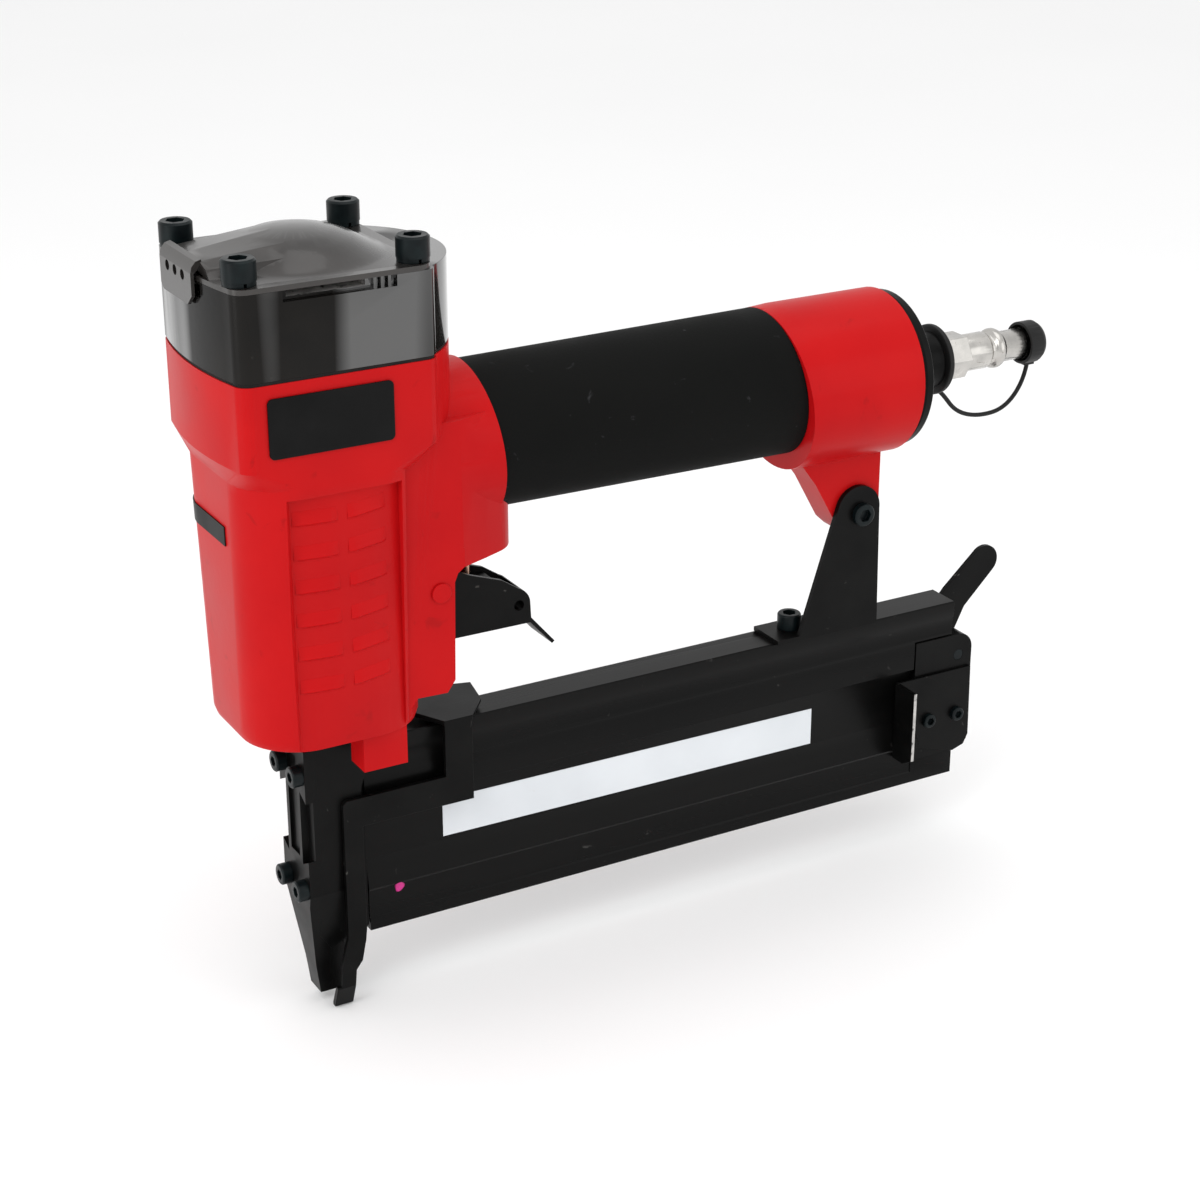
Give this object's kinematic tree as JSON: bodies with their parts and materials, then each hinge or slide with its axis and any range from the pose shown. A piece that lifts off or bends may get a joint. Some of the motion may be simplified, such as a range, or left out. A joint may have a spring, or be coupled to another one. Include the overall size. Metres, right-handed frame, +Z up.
{
  "type": "pneumatic nail gun",
  "caption": "Compressed-air brad nail gun with a square head, rubber-sleeved handle, sliding magazine, nose safety and trigger.",
  "frame": {"origin": "point on the drive axis in the plane of the nose tip's lower face, where the nail leaves", "axes": "+Z up along the drive axis towards the head, +X along the handle towards the air inlet, the safety arm's strap on the -Y side"},
  "size_m": [0.305, 0.0608, 0.2499],
  "materials": {
    "red_paint": "glossy red enamel on die-cast aluminium",
    "black_gloss": "gloss black on die-cast aluminium",
    "gunmetal": "satin gunmetal sheet steel",
    "black_oxide": "black oxide steel",
    "black_steel": "satin black steel",
    "black_extrusion": "satin black anodised extrusion",
    "bare_aluminium": "machined",
    "spring_steel": "spring wire",
    "hard_steel": "ground",
    "nickel": "bright nickel plate",
    "brass": "turned",
    "grip_rubber": "fine matt rubber",
    "black_rubber": "smooth rubber",
    "gasket": "gasket sheet",
    "bumper_rubber": "hard rubber",
    "badge": "blank dark plate",
    "label": "blank pale label"
  },
  "bodies": {
    "gun": {"housing": "red_paint", "cylinder_cap": "black_gloss", "exhaust_cover": "gunmetal", "cap_screws": "black_oxide", "cap_washers": "black_oxide", "nose_screws": "black_oxide", "bracket_base_screw": "black_oxide", "bracket_pivot_screw": "black_oxide", "nose_body": "black_steel", "nose_front_plate": "black_steel", "rear_bracket": "black_steel", "end_cap": "black_steel", "inlet_bush": "black_steel", "fixed_magazine": "black_extrusion", "cylinder": "bare_aluminium", "head_valve_spring": "spring_steel", "trigger_valve_spring": "spring_steel", "safety_spring": "spring_steel", "trigger_pin": "hard_steel", "air_plug": "nickel", "trigger_valve_body": "brass", "grip": "grip_rubber", "dust_cap_ring": "black_rubber", "dust_cap_strap": "black_rubber", "cylinder_seal": "black_rubber", "cap_gasket": "gasket", "end_cap_gasket": "gasket", "bumper": "bumper_rubber", "brand_plate": "badge", "front_label": "badge"},
    "piston": {"piston": "bare_aluminium", "driver_blade": "hard_steel", "piston_ring": "black_rubber"},
    "head_valve": {"head_valve": "bare_aluminium", "head_valve_ring": "black_rubber"},
    "trigger": {"trigger": "black_steel"},
    "trigger_valve_stem": {"trigger_valve_stem": "brass"},
    "safety_arm": {"safety_arm": "black_steel"},
    "sliding_magazine": {"sliding_magazine": "black_extrusion", "magazine_end_block": "black_steel", "end_block_screws": "black_oxide", "latch_plate": "black_steel", "latch_pin": "black_oxide", "pusher_rod": "hard_steel", "spec_label": "label", "pusher_spring": "spring_steel", "latch_spring": "spring_steel"},
    "latch_lever": {"latch_lever": "black_steel"},
    "pusher": {"pusher": "hard_steel"},
    "dust_cap": {"dust_cap": "black_rubber"}
  },
  "joints": [
    {"name": "piston_drive", "type": "slide", "parent": "gun", "child": "piston", "axis": [0, 0, -1], "range_m": [0, 0.072]},
    {"name": "head_valve_lift", "type": "slide", "parent": "gun", "child": "head_valve", "axis": [0, 0, 1], "range_m": [0, 0.004], "stiffness_N_per_m": 2000, "springref_m": -0.004, "deforming": ["head_valve_spring"]},
    {"name": "trigger_pull", "type": "hinge", "parent": "gun", "child": "trigger", "pos_m": [0.0314, 0, 0.1371], "axis": [0, -1, 0], "range_deg": [0, 9], "stiffness_Nm_per_rad": 0.3, "springref_deg": -5.73},
    {"name": "trigger_valve_lift", "type": "slide", "parent": "gun", "child": "trigger_valve_stem", "axis": [0, 0, 1], "range_m": [0, 0.0035], "deforming": ["trigger_valve_spring"]},
    {"name": "safety_lift", "type": "slide", "parent": "gun", "child": "safety_arm", "axis": [0, 0, 1], "range_m": [0, 0.007], "stiffness_N_per_m": 1500, "springref_m": -0.008, "deforming": ["safety_spring"]},
    {"name": "magazine_slide", "type": "slide", "parent": "gun", "child": "sliding_magazine", "axis": [1, 0, 0], "range_m": [0, 0.13]},
    {"name": "latch_press", "type": "hinge", "parent": "sliding_magazine", "child": "latch_lever", "pos_m": [0.24, 0, 0.0645], "axis": [0, 1, 0], "range_deg": [0, 15], "stiffness_Nm_per_rad": 0.2, "springref_deg": -11.46, "deforming": ["latch_spring"]},
    {"name": "pusher_slide", "type": "slide", "parent": "sliding_magazine", "child": "pusher", "axis": [1, 0, 0], "range_m": [0, 0.15], "stiffness_N_per_m": 30, "springref_m": -0.2, "deforming": ["pusher_spring"]},
    {"name": "dust_cap_swing", "type": "hinge", "parent": "gun", "child": "dust_cap", "pos_m": [0.263, 0, 0.148], "axis": [0, 1, 0], "range_deg": [0, 130], "deforming": ["dust_cap_strap"]}
  ],
  "couplings": [
    {"joint": "trigger_valve_lift", "follows": "trigger_pull", "m_per_rad": 0.0188}
  ]
}
